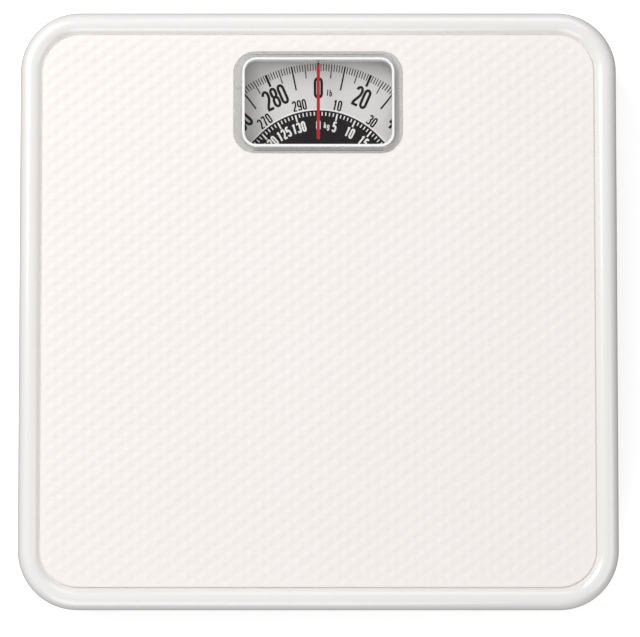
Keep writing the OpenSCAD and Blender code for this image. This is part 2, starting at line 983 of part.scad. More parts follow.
// an inverted U bracket under the deck whose two legs bear on the lever's load edge
module platform_bracket() {
    half = 8;
    leg_r = 5;
    top = deck_z - sheet_t;
    low = edge_z - 2.5;
    color("silver")
        translate([load_arm, 0, 0])
            difference() {
                union() {
                    block([-half, -ear_in - ear_t, top - bracket_t], [half, ear_in + ear_t, top]);
                    for (side = [-1, 1])
                        translate([0, side * (ear_in + ear_t / 2) - ear_t / 2, 0])
                            block([-leg_r, 0, low], [leg_r, ear_t, top]);
                }
                cross_bore(0, edge_r + gap);
                block([-edge_r - gap, -edge_l, low - cut], [edge_r + gap, edge_l, edge_z]);
            }
}

// an inverted U channel from the fulcrum along +X, with its two pin holes
module lever_channel(l) {
    half = lever_w / 2;
    low = lever_top - lever_h;
    difference() {
        x_plate(-lever_tail, l)
            polygon([
                [-half, low], [-half, lever_top], [half, lever_top], [half, low],
                [half - lever_t, low], [half - lever_t, lever_top - lever_t],
                [-half + lever_t, lever_top - lever_t], [-half + lever_t, low]
            ]);
        for (x = [0, load_arm])
            cross_bore(x, edge_r + seat);
    }
}

module long_lever() {
    channel_l = long_l - 12;
    nose_low = plate_z + plate_t + gap;
    nose_half = 0.6;
    half = tongue_w / 2;
    color("silver") {
        lever_channel(channel_l);
        block([channel_l - 2, -half, lever_top - lever_t], [long_l + 3, half, lever_top]);
        block([long_l - nose_half, -half, nose_low], [long_l + nose_half, half, lever_top]);
    }
}

// its tongue steps up and lies over the long lever's channel
module short_lever() {
    channel_l = short_l - 16;
    step_z = lever_top + gap;
    half = tongue_w / 2;
    color("silver") {
        lever_channel(channel_l);
        block([channel_l - 3, -half, lever_top - lever_t], [channel_l + lever_t, half, step_z + lever_t]);
        block([channel_l, -half, step_z], [short_l + 3, half, step_z + lever_t]);
    }
}

module lever_pins() {
    color("gainsboro")
        for (x = [0, load_arm])
            translate([x, -edge_l / 2, edge_z])
                rotate([-90, 0, 0])
                    cylinder(r = edge_r, h = edge_l);
}

base_pan();
rubber_feet();
foot_rivets();
at_corner(-1, 1) fulcrum_post();  // fulcrum_post_front_left
at_corner(1, 1) fulcrum_post();  // fulcrum_post_front_right
at_corner(-1, -1) fulcrum_post();  // fulcrum_post_rear_left
at_corner(1, -1) fulcrum_post();  // fulcrum_post_rear_right
dial_bridge();
bridge_rivets();
spindle_bush();
footstep_bearing();
rack_guide();
rack_spring_anchor();
rack_spring();
crank_bracket();
crank_bracket_rivets();
crank_pivot_pin();
mirror([1, 0, 0]) spring_post();  // spring_post_left
spring_post();  // spring_post_right
post_rivets();
mirror([1, 0, 0]) main_spring();  // main_spring_left
main_spring();  // main_spring_right
thumbwheel_keeper();
keeper_rivet();
hold_down_springs();
spring_beam();
adjusting_screw();
thumbwheel();
calibrating_plate();
bell_crank();
crank_arm_pins();
rack();
dial_spindle();
pinion();
dial_hub();
hub_rivets();
dial_disc();
platform();
platform_mat();
window_lens();
lens_clips();
pointer();
platform_stiffeners();
at_corner(-1, 1) platform_bracket();  // platform_bracket_front_left
at_corner(1, 1) platform_bracket();  // platform_bracket_front_right
at_corner(-1, -1) platform_bracket();  // platform_bracket_rear_left
at_corner(1, -1) platform_bracket();  // platform_bracket_rear_right
at_corner(-1, 1) long_lever();  // long_lever_left
at_corner(-1, 1) lever_pins();  // long_lever_left_pins
at_corner(1, 1) long_lever();  // long_lever_right
at_corner(1, 1) lever_pins();  // long_lever_right_pins
at_corner(-1, -1) short_lever();  // short_lever_left
at_corner(-1, -1) lever_pins();  // short_lever_left_pins
at_corner(1, -1) short_lever();  // short_lever_right
at_corner(1, -1) lever_pins();  // short_lever_right_pins
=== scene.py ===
import json
import math

import bmesh
import bpy
from mathutils import Matrix, Vector


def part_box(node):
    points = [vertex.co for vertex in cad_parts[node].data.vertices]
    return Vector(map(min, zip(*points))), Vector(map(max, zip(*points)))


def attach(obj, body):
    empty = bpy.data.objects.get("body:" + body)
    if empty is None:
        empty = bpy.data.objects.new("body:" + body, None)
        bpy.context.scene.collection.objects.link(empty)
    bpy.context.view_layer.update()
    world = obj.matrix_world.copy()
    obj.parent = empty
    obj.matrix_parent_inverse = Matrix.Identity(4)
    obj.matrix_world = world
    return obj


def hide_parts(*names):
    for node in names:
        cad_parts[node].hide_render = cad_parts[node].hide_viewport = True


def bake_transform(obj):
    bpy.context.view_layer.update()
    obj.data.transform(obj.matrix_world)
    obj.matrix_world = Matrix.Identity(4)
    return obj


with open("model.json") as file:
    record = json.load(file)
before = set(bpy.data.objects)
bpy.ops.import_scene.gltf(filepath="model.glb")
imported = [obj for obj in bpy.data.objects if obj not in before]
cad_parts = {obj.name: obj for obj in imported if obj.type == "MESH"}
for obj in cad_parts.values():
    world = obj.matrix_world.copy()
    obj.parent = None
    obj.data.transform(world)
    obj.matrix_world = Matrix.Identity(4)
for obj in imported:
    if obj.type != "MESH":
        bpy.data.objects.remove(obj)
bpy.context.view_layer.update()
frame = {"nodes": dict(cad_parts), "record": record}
mm = 0.001
print("frame loaded:", len(frame["nodes"]), "nodes")

view = {
    "elevation": 86.5,              # degrees above the floor, seen from the front edge
    "distance": 1250 * mm,
    "seenWidth": 284.7 * mm,        # what the picture's width takes in at the aim
    "aim": (0.75 * mm, -3.8 * mm, 44 * mm),
}


def placeCamera():
    slope = math.radians(view["elevation"])
    back = Vector((0, -math.cos(slope), math.sin(slope)))
    data = bpy.data.cameras.new("camera")
    data.lens = data.sensor_width * view["distance"] / view["seenWidth"]
    camera = bpy.data.objects.new("camera", data)
    camera.rotation_mode = "QUATERNION"
    camera.rotation_quaternion = (-back).to_track_quat("-Z", "Y")
    camera.location = Vector(view["aim"]) + back * view["distance"]
    bpy.context.scene.collection.objects.link(camera)
    bpy.context.scene.camera = camera


worldLight = 0.16
softboxes = [
    {"name": "keyBox", "at": (-0.8, 0.6, 1.0), "size": 0.9, "power": 12.6},
    {"name": "rearBox", "at": (0.3, 1.15, 0.9), "size": 0.9, "power": 5.0},
    {"name": "fillBox", "at": (1.0, -0.4, 1.0), "size": 0.9, "power": 4.5},
    {"name": "frontBox", "at": (-0.3, -1.15, 0.9), "size": 0.9, "power": 7.2},
]


def placeLights():
    for box in softboxes:
        data = bpy.data.lights.new(box["name"], "AREA")
        data.size = box["size"]
        data.energy = box["power"]
        lamp = bpy.data.objects.new(box["name"], data)
        lamp.location = box["at"]
        lamp.rotation_mode = "QUATERNION"
        lamp.rotation_quaternion = (-Vector(box["at"])).to_track_quat("-Z", "Y")
        bpy.context.scene.collection.objects.link(lamp)
    world = bpy.data.worlds.new("studio")
    world.use_nodes = True
    sky = world.node_tree.nodes["Background"]
    sky.inputs["Color"].default_value = (1, 1, 1, 1)
    sky.inputs["Strength"].default_value = worldLight
    bpy.context.scene.world = world


class Flow:
    def __init__(self, tree, socket=None):
        self.tree = tree
        self.socket = socket

    # adds one node: its settings first, then the values or links of its sockets
    def node(self, kind, settings=None, values=None, output=0):
        made = self.tree.nodes.new(kind)
        for name, value in (settings or {}).items():
            if name == "stops":
                fillRamp(made.color_ramp, value)
            else:
                setattr(made, name, value)
        for name, value in (values or {}).items():
            if isinstance(value, Flow):
                self.tree.links.new(value.socket, made.inputs[name])
            else:
                made.inputs[name].default_value = value
        return Flow(self.tree, made.outputs[output])

    def maths(self, operation, *terms):
        return self.node("ShaderNodeMath", {"operation": operation}, dict(enumerate(terms)))

    def __add__(self, other):
        return self.maths("ADD", self, other)

    def __radd__(self, other):
        return self.maths("ADD", other, self)

    def __sub__(self, other):
        return self.maths("SUBTRACT", self, other)

    def __rsub__(self, other):
        return self.maths("SUBTRACT", other, self)

    def __mul__(self, other):
        return self.maths("MULTIPLY", self, other)

    def __rmul__(self, other):
        return self.maths("MULTIPLY", other, self)


def fillRamp(ramp, stops):
    while len(ramp.elements) < len(stops):
        ramp.elements.new(1)
    for element, (place, grey) in zip(ramp.elements, stops):
        element.position = place
        element.color = (grey, grey, grey, 1)


def shade(colour):
    return (*colour, 1)


# a new material, its shader's input sockets and a flow to build on
def startMaterial(name, fixed):
    material = bpy.data.materials.new(name)
    material.use_nodes = True
    tree = material.node_tree
    shader = tree.nodes["Principled BSDF"]
    for socket, value in fixed.items():
        shader.inputs[socket].default_value = value
    material.diffuse_color = shader.inputs["Base Color"].default_value
    flow = Flow(tree)
    place = flow.node("ShaderNodeTexCoord", output="Object")
    return material, shader.inputs, flow, place


def noise(flow, place, scale, detail=2.0, roughness=0.5):
    return flow.node(
        "ShaderNodeTexNoise", {}, {"Vector": place, "Scale": scale, "Detail": detail, "Roughness": roughness}
    )


def stretch(flow, place, factors):
    return flow.node("ShaderNodeVectorMath", {"operation": "MULTIPLY"}, {0: place, 1: factors})


def mixColours(flow, factor, first, second):
    return flow.node(
        "ShaderNodeMix", {"data_type": "RGBA"}, {"Factor": factor, 6: first, 7: second}, output=2
    )


def feed(flow, inputs, name, value):
    flow.tree.links.new(value.socket, inputs[name])


def bump(flow, inputs, height, depth, strength=1.0):
    bumped = flow.node("ShaderNodeBump", {}, {"Strength": strength, "Distance": depth, "Height": height})
    feed(flow, inputs, "Normal", bumped)


# turns a finished bmesh into a piece: doubles merged, normals outwards, edges past the limit sharp
def makePiece(bm, name, material, merge=1e-6, sharpAngle=35, recalculate=True):
    if merge:
        bmesh.ops.remove_doubles(bm, verts=bm.verts, dist=merge)
    if recalculate:
        bmesh.ops.recalc_face_normals(bm, faces=bm.faces)
    limit = math.radians(sharpAngle)
    for edge in bm.edges:
        edge.smooth = edge.is_manifold and edge.calc_face_angle(0) < limit
    for face in bm.faces:
        face.smooth = True
    mesh = bpy.data.meshes.new(name)
    bm.to_mesh(mesh)
    bm.free()
    mesh.materials.append(material)
    piece = bpy.data.objects.new(name, mesh)
    bpy.context.scene.collection.objects.link(piece)
    return piece


def placePiece(piece, body, slot, *nodes):
    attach(piece, body)
    if nodes:
        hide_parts(*nodes)
    return piece


# sets a loop of vertices out round a rectangle with round corners: width, depth, corner radius and height
def placeLoop(loop, section, centre):
    width, depth, radius, z = section
    steps = len(loop) // 4 - 1
    for count, vert in enumerate(loop):
        quarter, step = divmod(count, steps + 1)
        turn = math.tau / 4 * (quarter + step / steps)
        cornerX = (width / 2 - radius) * (1 if quarter in (0, 3) else -1)
        cornerY = (depth / 2 - radius) * (1 if quarter < 2 else -1)
        vert.co.x = centre[0] + cornerX + radius * math.cos(turn)
        vert.co.y = centre[1] + cornerY + radius * math.sin(turn)
        vert.co.z = z


def loopEdges(bm, loop):
    return [bm.edges.get(pair) for pair in zip(loop, loop[1:] + loop[:1])]


# extrudes a rounded loop from section to section, and returns its first and last loops
def skin(bm, sections, centre=(0, 0), steps=12):
    loop = bmesh.ops.create_circle(bm, segments=4 * (steps + 1), radius=1)["verts"]
    placeLoop(loop, sections[0], centre)
    first = loop
    for section in sections[1:]:
        made = bmesh.ops.extrude_edge_only(bm, edges=loopEdges(bm, loop))["geom"]
        fresh = {part for part in made if isinstance(part, bmesh.types.BMVert)}
        loop = [next(e.other_vert(v) for e in v.link_edges if e.other_vert(v) in fresh) for v in loop]
        placeLoop(loop, section, centre)
    return first, loop


def fill(bm, *loops):
    edges = [edge for loop in loops for edge in loopEdges(bm, loop)]
    bmesh.ops.triangle_fill(bm, use_beauty=True, use_dissolve=False, edges=edges)


# points (inset, z) on an arc, from one angle to another in degrees; 0 points outwards and 90 up
def arcPoints(inset, z, radius, start, end, steps):
    turns = [math.radians(start + (end - start) * i / steps) for i in range(steps + 1)]
    return [(inset - radius * math.cos(a), z + radius * math.sin(a)) for a in turns]


platformShape = {
    "cornerRadius": 26.5 * mm,
    "beadRadius": 5.2 * mm,
    "sheet": 1 * mm,
    "deckZ": 46.4 * mm,
    "hemWidth": 1.1 * mm,
    "hemHeight": 4 * mm,
    "hemRound": 0.5 * mm,
    "cornerSteps": 24,
    "lugSize": (5 * mm, 1.2 * mm, 4 * mm),
    "lugEye": 0.9 * mm,
    "colour": (0.915, 0.895, 0.875),
}
windowHole = {"width": 68.3 * mm, "depth": 40.6 * mm, "radius": 6.6 * mm}


def whiteEnamel():
    material, inputs, flow, place = startMaterial("whiteEnamel", {
        "Base Color": shade(platformShape["colour"]), "Roughness": 0.22, "Coat Weight": 0.35,
        "Coat Roughness": 0.08, "IOR": 1.5,
    })
    patches = noise(flow, place, 14, 3)
    darker = tuple(0.975 * c for c in platformShape["colour"])
    feed(flow, inputs, "Base Color", mixColours(flow, patches, shade(platformShape["colour"]), shade(darker)))
    feed(flow, inputs, "Roughness", 0.17 + 0.1 * noise(flow, place, 60, 2))
    peel = noise(flow, place, 620, 1)       # orange peel of sprayed enamel
    bump(flow, inputs, peel, 0.02 * mm, 0.35)
    return material


def makePlatform(material):
    shape = platformShape
    low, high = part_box("platform")
    width = high.x - low.x
    depth = high.y - low.y
    sheet = shape["sheet"]
    bead = shape["beadRadius"]
    beadZ = high.z - bead
    outerEnd = 180 - math.degrees(math.asin((shape["deckZ"] - beadZ) / bead))
    innerEnd = 180 - math.degrees(math.asin((shape["deckZ"] - sheet - beadZ) / (bead - sheet)))
    hem = sheet + shape["hemWidth"]
    edge = shape["hemRound"]
    profile = (
        arcPoints(bead, beadZ, bead, outerEnd, 0, 20)
        + arcPoints(edge, low.z + edge, edge, 0, -90, 4)
        + arcPoints(hem - edge, low.z + edge, edge, -90, -180, 4)
        + [(hem, low.z + shape["hemHeight"]), (sheet, low.z + shape["hemHeight"] + sheet / 2)]
        + arcPoints(bead, beadZ, bead - sheet, 0, innerEnd, 12)
    )
    bm = bmesh.new()
    sections = [(width - 2 * i, depth - 2 * i, shape["cornerRadius"] - i, z) for i, z in profile]
    top, bottom = skin(bm, sections, steps=shape["cornerSteps"])
    hole = (windowHole["width"], windowHole["depth"], windowHole["radius"])
    holeLevels = [(*hole, shape["deckZ"]), (*hole, shape["deckZ"] - sheet)]
    upper, lower = skin(bm, holeLevels, (0, windowCentre()))
    fill(bm, top, upper)
    fill(bm, bottom, lower)
    for x, y in springPlaces():
        addLug(bm, x, y, shape["deckZ"] - sheet, -1)
    piece = makePiece(bm, "platformShell", material)
    return placePiece(piece, "platform", "white_enamel", "platform")


def windowCentre():
    low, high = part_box("window_lens")
    return (low.y + high.y) / 2


def springPlaces():
    low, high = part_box("hold_down_springs")
    reach = springShape["holdRadius"]
    return [(x, y) for x in (low.x + reach, high.x - reach) for y in (low.y + reach, high.y - reach)]


# a lanced lug with an eye that a spring's hook goes through, standing on z or hanging from it
def addLug(bm, x, y, z, up):
    width, thick, height = platformShape["lugSize"]
    eye = platformShape["lugEye"]
    outline = bmesh.ops.create_grid(bm, x_segments=1, y_segments=1, size=0.5)["verts"]
    bmesh.ops.scale(bm, vec=(width, height, 1), verts=outline)
    bmesh.ops.delete(bm, geom=outline[0].link_faces[:], context="FACES_ONLY")
    hole = bmesh.ops.create_circle(bm, segments=16, radius=eye)["verts"]
    bmesh.ops.translate(bm, vec=(0, up * 0.1 * height, 0), verts=hole)      # nearer the free end
    edges = list({edge for vert in outline + hole for edge in vert.link_edges})
    plate = bmesh.ops.triangle_fill(bm, use_beauty=True, use_dissolve=False, edges=edges)["geom"]
    raised = bmesh.ops.extrude_face_region(bm, geom=plate)["geom"]
    far = [part for part in raised if isinstance(part, bmesh.types.BMVert)]
    bmesh.ops.translate(bm, vec=(0, 0, thick), verts=far)
    verts = outline + hole + far
    bmesh.ops.translate(bm, vec=(0, 0, -thick / 2), verts=verts)
    bmesh.ops.rotate(bm, cent=(0, 0, 0), matrix=Matrix.Rotation(math.pi / 2, 3, "X"), verts=verts)
    bmesh.ops.translate(bm, vec=(x, y, z + up * height / 2), verts=verts)


matShape = {
    "cornerRadius": 16.5 * mm,
    "across": 29.2,                 # domes from side to side
    "rows": 79,                     # rows from front to back, every second one moved by half a step
    "cellsAcross": 10,              # mesh cells between two domes of a row
    "cellsAlong": 4,                # mesh cells between two rows
    "domeHalf": (2.8 * mm, 2.2 * mm),
    "domeHeight": 0.36 * mm,
    "margin": (0.7 * mm, 2.2 * mm), # smooth margin at the edge, and where the domes are full
    "cutOut": (76 * mm, 46 * mm, 9.9 * mm),
    "colour": (0.93, 0.893, 0.868),
}


def vinylMat():
    material, inputs, flow, place = startMaterial("vinylMat", {
        "Base Color": shade(matShape["colour"]), "Roughness": 0.48, "Specular IOR Level": 0.4,
    })
    warm = tuple(c * k for c, k in zip(matShape["colour"], (0.99, 0.975, 0.96)))
    tone = noise(flow, place, 25, 3)
    feed(flow, inputs, "Base Color", mixColours(flow, tone, shade(matShape["colour"]), shade(warm)))
    feed(flow, inputs, "Roughness", 0.42 + 0.14 * noise(flow, place, 300, 3))
    bump(flow, inputs, noise(flow, place, 2600, 3), 0.02 * mm, 0.5)     # calendered vinyl grain
    return material


# distance inside a rounded rectangle, and the nearest point of its outline
def outlineDistance(x, y, width, depth, radius):
    cornerX = max(abs(x) - (width / 2 - radius), 0)
    cornerY = max(abs(y) - (depth / 2 - radius), 0)
    if cornerX > 0 and cornerY > 0:
        return radius - math.hypot(cornerX, cornerY)
    return min(width / 2 - abs(x), depth / 2 - abs(y))


def nearestOutline(x, y, width, depth, radius):
    coreX = width / 2 - radius
    coreY = depth / 2 - radius
    insideX = max(-coreX, min(coreX, x))
    insideY = max(-coreY, min(coreY, y))
    if abs(x) > coreX and abs(y) > coreY:
        away = Vector((x - insideX, y - insideY)).normalized() * radius
        return insideX + away.x, insideY + away.y
    if width / 2 - abs(x) < depth / 2 - abs(y):
        return math.copysign(width / 2, x), y
    return x, math.copysign(depth / 2, y)


def smoothStep(low, high, value):
    share = max(0, min(1, (value - low) / (high - low)))
    return share * share * (3 - 2 * share)


# height of the domes over the mat's ground, 0 to 1
def domeHeight(x, y, across, along):
    best = 0
    row = math.floor(y / along)
    for line in (row, row + 1):
        shift = 0.5 if line % 2 else 0
        sideways = x / across - shift
        nearX = (sideways - round(sideways)) * across
        nearY = y - line * along
        away = (nearX / matShape["domeHalf"][0]) ** 2 + (nearY / matShape["domeHalf"][1]) ** 2
        if away < 1:
            best = max(best, (1 - away) ** 2)
    return best


def makeMat(material):
    shape = matShape
    low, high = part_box("platform_mat")
    width = high.x - low.x
    depth = high.y - low.y
    across = width / shape["across"]
    along = depth / shape["rows"]
    cells = (round(shape["across"] * shape["cellsAcross"]), shape["rows"] * shape["cellsAlong"])
    ground = high.z - shape["domeHeight"]
    outline = (width, depth, shape["cornerRadius"])
    centreY = windowCentre()
    bm = bmesh.new()
    bmesh.ops.create_grid(bm, x_segments=cells[0], y_segments=cells[1], size=0.5)
    bmesh.ops.scale(bm, vec=(width, depth, 1), verts=bm.verts)
    spare = []
    for face in bm.faces:
        x, y = face.calc_center_median().xy
        if outlineDistance(x, y, *outline) < 0 or outlineDistance(x, y - centreY, *shape["cutOut"]) > 0:
            spare.append(face)
    bmesh.ops.delete(bm, geom=spare, context="FACES")
    for vert in bm.verts:
        x, y = vert.co.xy
        toEdge = outlineDistance(x, y, *outline)
        toWindow = -outlineDistance(x, y - centreY, *shape["cutOut"])
        if vert.is_boundary and toEdge < abs(toWindow):
            vert.co.x, vert.co.y = nearestOutline(x, y, *outline)
        elif vert.is_boundary:
            vert.co.x, beyond = nearestOutline(x, y - centreY, *shape["cutOut"])
            vert.co.y = beyond + centreY
        full = smoothStep(*shape["margin"], min(toEdge, windowDistance(x, y - centreY)))
        vert.co.z = ground + full * shape["domeHeight"] * domeHeight(x, y, across, along)
    rim = [edge for edge in bm.edges if edge.is_boundary]
    walls = bmesh.ops.extrude_edge_only(bm, edges=rim)["geom"]
    bottom = [part for part in walls if isinstance(part, bmesh.types.BMVert)]
    for vert in bottom:
        vert.co.z = low.z
    openEdges = [part for part in walls if isinstance(part, bmesh.types.BMEdge) and part.is_boundary]
    bmesh.ops.triangle_fill(bm, use_beauty=True, use_dissolve=False, edges=openEdges)
    piece = makePiece(bm, "platformMat", material, merge=0)
    return placePiece(piece, "platform", "vinyl_mat", "platform_mat")


# distance outside the mat's cut-out
def windowDistance(x, y):
    width, depth, radius = matShape["cutOut"]
    cornerX = max(abs(x) - (width / 2 - radius), 0)
    cornerY = max(abs(y) - (depth / 2 - radius), 0)
    return math.hypot(cornerX, cornerY) - radius


lensShape = {
    "flangeRadius": 9.6 * mm,
    "flangeTop": 48.2 * mm,
    "flangeBottom": 46.46 * mm,     # a hair over the deck and under the clips
    "pane": (67.7 * mm, 40 * mm, 6.3 * mm),
    "wall": 1.2 * mm,
    "paneThickness": 1.33 * mm,
    "edgeRound": 0.45 * mm,
    "fillet": 0.35 * mm,
    "grooves": (0.7 * mm, 1.65 * mm),               # where they start, measured in from the flange's edge
    "groove": (0.6 * mm, 0.6 * mm),                 # width and depth
    "edgeLine": (0.12 * mm, 1.06 * mm),             # the white wall of the painted highlight, measured in from the pane's edge
    "edgeDrop": 0.1 * mm,
    "edgeTop": 0.3 * mm,                            # how far under the pane's face the wall ends
    # the painted highlight's near-white, which stands in for light piped through the clear wall
    "paintedHighlightColour": (0.97, 0.97, 0.96),
    "shadeSheet": (0.35 * mm, 0.03 * mm),                 # inset of the painted-shade sheet under the flange, and its thickness
    # the painted shade's grey
    "paintedShadeColour": (0.62, 0.61, 0.60),
    "shadowStripReach": 29 * mm,
    # dark strips at the back and the front, painted shadow lines: side, distance outside the pane's edge,
    # width
    "shadowStrips": [
        (1, 0.08 * mm, 0.36 * mm), (1, 1.45 * mm, 0.2 * mm),
        (-1, 0.6 * mm, 0.22 * mm), (-1, 1.5 * mm, 0.3 * mm),
    ],
    # the painted shadow strips' near-black
    "shadowStripColour": (0.06, 0.06, 0.062),
    "notch": (0.9 * mm, 2.6 * mm, 0.5 * mm),        # size of the small bosses on the flange
    # where they stand from the window's middle, and whether they run from front to back
    "notches": [
        (-24.6 * mm, 21.2 * mm, True), (24.6 * mm, 21.2 * mm, True),
        (-35.8 * mm, 6.5 * mm, False), (35.8 * mm, 6.5 * mm, False),
    ],
}


def clearPlastic():
    material, inputs, flow, place = startMaterial("clearPlastic", {
        "Base Color": (0.985, 0.99, 0.99, 1), "Roughness": 0.02, "IOR": 1.49, "Transmission Weight": 1.0,
    })
    bump(flow, inputs, noise(flow, place, 90, 1), 0.02 * mm, 0.15)      # slow ripple of a moulded face
    return material


def makeLens(material):
    shape = lensShape
    low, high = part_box("window_lens")
    centre = (0, windowCentre())
    flange = (high.x - low.x, high.y - low.y, shape["flangeRadius"])
    edge = shape["edgeRound"]
    fillet = shape["fillet"]

    def inset(outline, amount, z):
        return (outline[0] - 2 * amount, outline[1] - 2 * amount, outline[2] - amount, z)

    breadth, drop = shape["groove"]
    flat = shape["flangeTop"]
    sections = [inset(flange, i, z) for i, z in arcPoints(edge, flat - edge, edge, 0, 90, 4)]
    for start in shape["grooves"]:
        across = [(0, 0), (0.35, drop), (0.65, drop), (1, 0)]
        sections += [inset(flange, start + share * breadth, flat - down) for share, down in across]
    sections += [
        inset(shape["pane"], i, z)
        for i, z in arcPoints(-fillet, flat + fillet, -fillet, 90, 0, 4)
    ]
    sections += [inset(shape["pane"], i, z) for i, z in arcPoints(edge, high.z - edge, edge, 0, 90, 4)]
    inner = [
        inset(flange, 0, shape["flangeBottom"]),
        inset(shape["pane"], 0, shape["flangeBottom"]),
        inset(shape["pane"], 0, low.z),
        inset(shape["pane"], shape["wall"], low.z),
        inset(shape["pane"], shape["wall"], high.z - shape["paneThickness"]),
    ]
    bm = bmesh.new()
    top, underside = skin(bm, sections[::-1] + inner, centre)
    fill(bm, top)
    fill(bm, underside)
    for x, y, along in shape["notches"]:
        size = (shape["notch"][0], shape["notch"][1], shape["notch"][2], 1)
        turn = Matrix.Rotation(0 if along else math.pi / 2, 4, "Z")
        place = Matrix.Translation((x, centre[1] + y, shape["flangeTop"]))
        bmesh.ops.create_cube(bm, size=1, matrix=place @ turn @ Matrix.Diagonal(size))
    piece = makePiece(bm, "windowLens", material)
    letLightThrough(piece)
    return placePiece(piece, "platform", "clear_plastic", "window_lens")


# light that falls on the dial passes the clear pane unhindered
def letLightThrough(piece):
    piece.visible_shadow = False
    piece.visible_diffuse = False


# the upright white wall under the pane's edge: a painted highlight, its white stands in for light piped along
# the clear wall as a bright line
def makeWindowEdge(material):
    shape = lensShape
    low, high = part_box("window_lens")
    width, depth, radius = shape["pane"]
    near, far = shape["edgeLine"]
    top = high.z - shape["edgeTop"]
    bottom = low.z + shape["edgeDrop"]
    levels = [(near, bottom), (near, top), (far, top), (far, bottom)]
    bm = bmesh.new()
    sections = [(width - 2 * i, depth - 2 * i, radius - i, z) for i, z in levels]
    first, last = skin(bm, sections, (0, windowCentre()))
    fill(bm, first, last)
    piece = makePiece(bm, "windowEdge", material)
    return placePiece(piece, "platform", "clear_plastic")


# a thin grey sheet on the deck, seen through the flange: painted shade, its grey stands in for the shade
# under the clear flange
def makeSeal(material):
    shape = lensShape
    low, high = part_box("window_lens")
    inset, thickness = shape["shadeSheet"]
    outer = (high.x - low.x - 2 * inset, high.y - low.y - 2 * inset, shape["flangeRadius"] - inset)
    inner = (windowHole["width"], windowHole["depth"], windowHole["radius"])
    base = platformShape["deckZ"]
    bm = bmesh.new()
    levels = [(*inner, base), (*inner, base + thickness), (*outer, base + thickness), (*outer, base)]
    first, last = skin(bm, levels, (0, windowCentre()))
    fill(bm, first, last)
    piece = makePiece(bm, "windowShadeSheet", material)
    return placePiece(piece, "platform", "grey_plastic")


# thin dark strips on the grey sheet, painted shadow: they stand in for the dark lines of shade seen through
# the flange
def makeTapes(material):
    shape = lensShape
    shadeSheetThickness = shape["shadeSheet"][1]
    thickness = 0.6 * shadeSheetThickness
    z = platformShape["deckZ"] + shadeSheetThickness + thickness / 2
    bm = bmesh.new()
    for side, away, breadth in shape["shadowStrips"]:
        y = windowCentre() + side * (shape["pane"][1] / 2 + away + breadth / 2)
        size = Matrix.Diagonal((2 * shape["shadowStripReach"], breadth, thickness, 1))
        bmesh.ops.create_cube(bm, size=1, matrix=Matrix.Translation((0, y, z)) @ size)
    piece = makePiece(bm, "windowShadowStrips", material)
    return placePiece(piece, "platform", "grey_plastic")


# painted shadow: a near-black surface with lighter random mottling, standing in for shadow lines under the
# flange
def darkTape():
    material, inputs, flow, place = startMaterial("darkTape", {
        "Base Color": shade(lensShape["shadowStripColour"]), "Roughness": 0.7, "Specular IOR Level": 0.2,
    })
    lighter = tuple(2.2 * c for c in lensShape["shadowStripColour"])
    stripMottle = noise(flow, place, 600, 4, 0.6)
    feed(flow, inputs, "Base Color", mixColours(flow, stripMottle, shade(lensShape["shadowStripColour"]), shade(lighter)))
    bump(flow, inputs, stripMottle, 0.02 * mm, 0.5)
    return material


# painted shade: a grey, matt surface with random mottling that stands in for shade seen through the clear
# flange
def greyFoam():
    material, inputs, flow, place = startMaterial("greyFoam", {
        "Base Color": shade(lensShape["paintedShadeColour"]), "Roughness": 0.85, "Specular IOR Level": 0.2,
    })
    darker = tuple(0.72 * c for c in lensShape["paintedShadeColour"])
    cells = noise(flow, place, 900, 4, 0.6)
    feed(flow, inputs, "Base Color", mixColours(flow, cells, shade(lensShape["paintedShadeColour"]), shade(darker)))
    bump(flow, inputs, cells, 0.03 * mm, 0.6)
    return material


# painted highlight: a near-white, lightly shiny surface standing in for light piped along the clear wall
def frostedPlastic():
    material, inputs, flow, place = startMaterial("frostedPlastic", {
        "Base Color": shade(lensShape["paintedHighlightColour"]), "Roughness": 0.35, "Specular IOR Level": 0.6,
    })
    feed(flow, inputs, "Roughness", 0.3 + 0.15 * noise(flow, place, 700, 2))
    bump(flow, inputs, noise(flow, place, 1500, 2), 0.02 * mm, 0.3)
    return material


pointerShape = {"edge": 0.12 * mm, "endSteps": 8, "colour": (0.46, 0.012, 0.016)}


def redPlastic():
    material, inputs, flow, place = startMaterial("redPlastic", {
        "Base Color": shade(pointerShape["colour"]), "Roughness": 0.28,
    })
    bump(flow, inputs, noise(flow, place, 900, 2), 0.01 * mm, 0.3)
    return material


def makePointer(material):
    low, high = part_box("pointer")
    width = high.x - low.x
    bm = bmesh.new()
    centre = (0, (low.y + high.y) / 2)
    edge = pointerShape["edge"]
    outline = (width, high.y - low.y, width / 2 * 0.999)
    levels = [(0, high.z), (0, low.z + edge), (edge, low.z)]
    sections = [(outline[0] - 2 * i, outline[1] - 2 * i, outline[2] - i, z) for i, z in levels]
    top, bottom = skin(bm, sections, centre, pointerShape["endSteps"])
    fill(bm, top)
    fill(bm, bottom)
    piece = makePiece(bm, "pointerStrip", material)
    return placePiece(piece, "platform", "red_plastic", "pointer")


dialShape = {
    "paper": (0.735, 0.715, 0.71),
    "ink": (0.009, 0.007, 0.009),
    "whiteInk": (0.87, 0.86, 0.85),
    "print": 0.03 * mm,             # thickness of the printed layer
    "blackRadius": 37.9 * mm,
    "ringWidth": 0.7 * mm,
    "hubHole": 5.1 * mm,
    "steps": 180,
    "unitPlaces": (5.1, 5.75),      # where the small unit marks stand, in pounds past the zero
}
fullPounds = 300
poundsPerKilo = 2.20462

